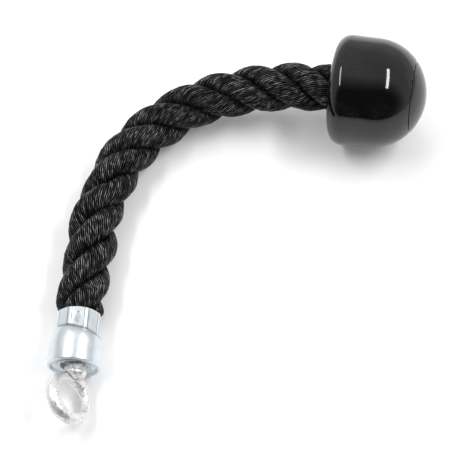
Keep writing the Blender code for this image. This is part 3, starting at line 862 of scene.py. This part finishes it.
def crevice_at(radius, depth, angle):
    """How much painted shade a place on the sleeve gets, from 0 to 1: in the press lines and dent, and as a
    painted shadow in the lip's recess next to its rim, on the upper side.
    """
    if depth > LIP_FLOOR_DEPTH - CLEARANCE:
        if radius > LIP_RIM_RADIUS + LIP_RIM_FILLET / 2:
            return 0
        # Painted shadow on the recess floor next to the rim, only on the upper side
        shade = clamped((radius - LIP_RIM_RADIUS + LIP_SHADE_REACH) / LIP_SHADE_FADE)
        return shade * max(0, math.cos(angle))
    if radius < NECK_FLAT_RADIUS - LEDGE_GROOVE_DEPTH - DENT_DEPTH:
        return 0
    # Painted shade in the ledge, its double, the crease and the dent
    ledge, double, crease = press_lines(depth, angle)
    return max(LEDGE_SHADE_SHARE * ledge, double, crease, DENT_SHADE_SHARE * dent_wall(depth, angle))


def build_ferrule(material):
    """The sleeve: pressed neck, shoulder, barrel and the lip that keeps the eye in."""
    chamber_end = FERRULE_LENGTH - LIP_THICKNESS
    profile = [
        *lip_outline(),
        *shoulder_outline(),
        (NECK_FLAT_RADIUS - MOUTH_FILLET, 0),
        (NECK_BORE_RADIUS + MOUTH_FILLET, 0),
        (NECK_BORE_RADIUS, MOUTH_FILLET),
        (NECK_BORE_RADIUS, ROPE_GRIP_LENGTH),
        (CHAMBER_RADIUS, ROPE_GRIP_LENGTH),
        (CHAMBER_RADIUS, chamber_end),
        (LIP_BORE_RADIUS, chamber_end),
    ]
    points, faces = turned(profile, FERRULE_STEPS, pressed_neck)
    sleeve = add_piece("ferrule", points, faces, FERRULE_FRAME, material, "rope")
    # Numbers from which the material paints shade in the press lines and the shadow in the lip's recess
    mark(sleeve, "crevice", [crevice_at(math.hypot(x, y), depth, math.atan2(y, x)) for x, y, depth in points])
    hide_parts("ferrule_sleeve")


# Eye

def roughened(points, normals, height):
    """The points moved along their normals by hammer marks and zinc lumps."""
    moved = []
    for point, normal in zip(points, normals):
        place = Vector(point) / LUMP_GRAIN
        lump = noise.noise(place) + FINE_LUMP_SHARE * noise.noise(place * FINE_LUMP_RATE)
        moved.append(Vector(point) + Vector(normal) * height * lump)
    return moved


def ring_rod(angle):
    """The radius that the rod's middle runs at and the rod's own radius, at an angle round the ring."""
    rod = ROD_RADIUS + ROD_SWELL * math.cos(angle - math.radians(ROD_SWELL_DEG))
    root = max(0, math.cos(angle - math.radians(ROOT_DEG))) ** ROOT_POWER
    return EYE_HOLE_RADIUS + rod + ROOT_REACH * root, rod + ROOT_SWELL * root


def ring_frame():
    """The leaning ring's own frame in the swivel's frame."""
    lean = Matrix.Rotation(math.radians(EYE_LEAN_DEG), 4, "X")
    return Matrix.Translation((EYE_OFFSET, 0, EYE_DEPTH)) @ lean


def gap_to_ring(point):
    """How far a point of the swivel's frame is outside the ring's rod."""
    place = ring_frame().inverted() @ point
    reach, rod = ring_rod(math.atan2(place.z, place.x))
    return math.hypot(math.hypot(place.x, place.z) - reach, place.y) - rod


def bent_ring():
    """Points and faces of the ring's bent rod, in the swivel's frame."""
    ring = ring_frame()
    points = []
    normals = []
    faces = []
    for i in range(RING_STEPS):
        angle = 2 * math.pi * i / RING_STEPS
        reach, rod = ring_rod(angle)
        outward = Vector((math.cos(angle), 0, math.sin(angle)))
        here = i * ROD_STEPS
        there = (i + 1) % RING_STEPS * ROD_STEPS
        for j in range(ROD_STEPS):
            turn = 2 * math.pi * j / ROD_STEPS
            normal = outward * math.cos(turn) + Vector((0, 1, 0)) * math.sin(turn)
            points.append(ring @ (outward * reach + normal * rod))
            normals.append(ring.to_3x3() @ normal)
            after = (j + 1) % ROD_STEPS
            faces.append([here + j, there + j, there + after, here + after])
    return roughened(points, normals, RING_LUMP_HEIGHT), faces


def collar_and_shank():
    """Points and faces of the rough collar, round at the ring, and of the smooth shank behind it."""
    rod_line = EYE_DEPTH - EYE_HOLE_RADIUS - ROD_RADIUS
    top = rod_line - ROD_RADIUS
    profile = [
        (0, rod_line + ROD_RADIUS / 2),
        *arc(COLLAR_RADIUS, (0, top), COLLAR_TOP_DEG, 0, COLLAR_TOP_POINTS, COLLAR_TOP_SHARE * ROD_RADIUS),
        *[(COLLAR_RADIUS, depth) for depth in steps_between(top, COLLAR_DEPTH, COLLAR_STEP)[1:]],
        (SHANK_RADIUS + CLEARANCE, COLLAR_DEPTH),
        (SHANK_RADIUS, COLLAR_DEPTH),
        (SHANK_RADIUS, SHANK_DEPTH),
        (0, SHANK_DEPTH),
    ]
    points, faces = turned(profile, COLLAR_STEPS, closed=False)
    points = [Vector(p) for p in points]
    out = [Vector((p.x, p.y, 0)).normalized() if p.xy.length > 0 else Vector((0, 0, 1)) for p in points]
    rough = roughened(points, out, COLLAR_LUMP_HEIGHT)
    return [q if p.z > COLLAR_DEPTH + CLEARANCE else p for p, q in zip(points, rough)], faces


def build_eye(material):
    """Ring, weld and collar as one rough forged piece, with the shank that goes into the ferrule."""
    ring, ring_faces = bent_ring()
    shank, shank_faces = collar_and_shank()
    faces = ring_faces + [[corner + len(ring) for corner in face] for face in shank_faces]
    eye = add_piece("eye", ring + shank, faces, EYE_FRAME, material, "eye")
    weld = [math.exp(-(gap_to_ring(p) / WELD_REACH) ** 2) if p.z > COLLAR_DEPTH else 0 for p in shank]
    mark(eye, "crevice", [0] * len(ring) + weld)
    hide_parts("eye_bolt")


# Stopper

def bell_outline():
    """The bell from the seam over its side and its rim with the parting line to the bore and the pocket."""
    seam_deg = math.degrees(SEAM_ANGLE)
    rim = (RIM_CENTRE_RADIUS, RIM_FILLET)
    crown = steps_between(RIM_CENTRE_RADIUS, STOPPER_BORE_RADIUS, CROWN_STEP)[1:]
    return [
        (SEAM_RADIUS - SEAM_FILLET, SEAM_DEPTH - SEAM_GAP),
        *arc(DOME_RADIUS, (0, DOME_START), seam_deg - LINE_HALF_DEG, 0, DOME_POINTS, DOME_HEIGHT),
        *arc(RIM_FILLET, rim, 0, PARTING_DEG + LINE_HALF_DEG, RIM_POINTS),
        *arc(RIM_FILLET - PARTING_DEPTH, rim, PARTING_DEG, PARTING_DEG, 1),
        *arc(RIM_FILLET, rim, PARTING_DEG - LINE_HALF_DEG, -90, RIM_POINTS),
        *[(radius, face_depth(radius)) for radius in crown],
        (STOPPER_BORE_RADIUS, POCKET_DEPTH),
        (POCKET_RADIUS, POCKET_DEPTH),
        (POCKET_RADIUS, SEAM_DEPTH - SEAM_GAP),
    ]


def cap_outline():
    """The dome's cap from its middle down to the seam."""
    seam_deg = math.degrees(SEAM_ANGLE)
    side = arc(DOME_RADIUS, (0, DOME_START), 90, seam_deg + LINE_HALF_DEG, DOME_POINTS, DOME_HEIGHT)
    return [(0, side[0][1]), *side[1:], (SEAM_RADIUS - SEAM_FILLET, SEAM_DEPTH), (0, SEAM_DEPTH)]


def build_stopper(material):
    """The bell and its dome cap, with the fine seam between them."""
    for name, profile, node_name in (
        ("stopper", bell_outline(), "stopper_bell"),
        ("stopper_cap", cap_outline(), "dome_cap"),
    ):
        points, faces = turned(profile, STOPPER_STEPS)
        piece = add_piece(name, points, faces, STOPPER_FRAME, material, "rope")
        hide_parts(node_name)


# Studio

def build_floor():
    """White paper under the object, which glows a little to the camera so that it comes out white."""
    half = FLOOR_SIZE / 2
    corners = [(-half, -half, 0), (half, -half, 0), (half, half, 0), (-half, half, 0)]
    mesh = bpy.data.meshes.new("floor")
    mesh.from_pydata(corners, [], [[0, 1, 2, 3]])
    floor = bpy.data.objects.new("floor", mesh)
    bpy.context.scene.collection.objects.link(floor)
    material, shader, nodes, links = new_material("floor_paper")
    shader.inputs["Base Color"].default_value = (*PAPER_WHITE, 1.0)
    shader.inputs["Roughness"].default_value = 0.9
    shader.inputs["Specular IOR Level"].default_value = 0.1
    shader.inputs["Emission Color"].default_value = (1, 1, 1, 1)
    path = nodes.new("ShaderNodeLightPath")
    seen = math_node(nodes, links, "MAXIMUM", path.outputs["Is Camera Ray"], path.outputs["Is Glossy Ray"])
    links.new(product(nodes, links, seen, FLOOR_GLOW), shader.inputs["Emission Strength"])
    mesh.materials.append(material)


def build_world():
    """White behind the object for the camera, and round it a pale room.

    The room is dark in front, where the photographer stands, in a patch that is narrower than it is high.
    """
    world = bpy.data.worlds.new("studio")
    bpy.context.scene.world = world
    world.use_nodes = True
    nodes = world.node_tree.nodes
    links = world.node_tree.links
    nodes.clear()
    direction = nodes.new("ShaderNodeTexCoord").outputs["Generated"]
    flattened = nodes.new("ShaderNodeVectorMath")
    flattened.operation = "MULTIPLY"
    flattened.inputs[1].default_value = (ROOM_NARROWING_SHARE, 1, 1)
    unit_length = nodes.new("ShaderNodeVectorMath")
    unit_length.operation = "NORMALIZE"
    facing = nodes.new("ShaderNodeVectorMath")
    facing.operation = "DOT_PRODUCT"
    elevation = math.radians(ROOM_DARK_ELEVATION_DEG)
    facing.inputs[1].default_value = (0, -math.cos(elevation), math.sin(elevation))
    links.new(direction, flattened.inputs[0])
    links.new(flattened.outputs["Vector"], unit_length.inputs[0])
    links.new(unit_length.outputs["Vector"], facing.inputs[0])
    room = nodes.new("ShaderNodeBackground")
    links.new(ramp(nodes, links, facing.outputs["Value"], ROOM_SHADES), room.inputs["Color"])
    white = node(nodes, "ShaderNodeBackground", Color=(1, 1, 1, 1))
    camera = nodes.new("ShaderNodeMixShader")
    links.new(nodes.new("ShaderNodeLightPath").outputs["Is Camera Ray"], camera.inputs["Fac"])
    links.new(room.outputs[0], camera.inputs[1])
    links.new(white.outputs[0], camera.inputs[2])
    links.new(camera.outputs[0], nodes.new("ShaderNodeOutputWorld").inputs["Surface"])


def build_lamps():
    """Soft rectangular lamps that face the middle of the floor, their long sides along Y."""
    for name, place, size, power, shows in LAMPS:
        lamp = bpy.data.lights.new(name, "AREA")
        lamp.shape = "RECTANGLE"
        lamp.size, lamp.size_y = size
        lamp.energy = power
        holder = bpy.data.objects.new(name, lamp)
        bpy.context.scene.collection.objects.link(holder)
        away = Vector(place).normalized()
        side = Vector((0, 1, 0)).cross(away).normalized()
        turn = Matrix((side, away.cross(side), away)).transposed().to_4x4()
        holder.matrix_world = Matrix.Translation(place) @ turn
        holder.visible_glossy = shows


def build_camera():
    """A camera that looks down on the object from the front."""
    camera = bpy.data.cameras.new("camera")
    camera.sensor_width = SENSOR_WIDTH
    camera.lens = CAMERA_DISTANCE / (PIXEL_SIZE * PHOTO_WIDTH_PX) * SENSOR_WIDTH
    holder = bpy.data.objects.new("camera", camera)
    bpy.context.scene.collection.objects.link(holder)
    elevation = math.radians(CAMERA_ELEVATION_DEG)
    back = Vector((0, -math.cos(elevation), math.sin(elevation)))
    holder.location = Vector(LOOK_AT) + back * CAMERA_DISTANCE
    holder.rotation_mode = "QUATERNION"
    holder.rotation_quaternion = (-back).to_track_quat("-Z", "Y")
    bpy.context.scene.camera = holder


def finish_inner_pieces(material):
    """Steel looks for the pieces that nothing shows, which keep the solids' own shapes."""
    for name in INNER_NODES:
        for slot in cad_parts[name].material_slots:
            slot.material = material


def main():
    build_camera()
    build_world()
    build_floor()
    build_lamps()
    build_rope(rope_material())
    build_ferrule(zinc_material())
    build_eye(galvanised_material("rough_steel", STEEL_CLEAR, STEEL_PITTED, 0.46))
    build_stopper(stopper_material())
    finish_inner_pieces(galvanised_material("inner_steel", INNER_CLEAR, INNER_PITTED, 0.4))
    bpy.context.scene.view_settings.view_transform = "Standard"


main()
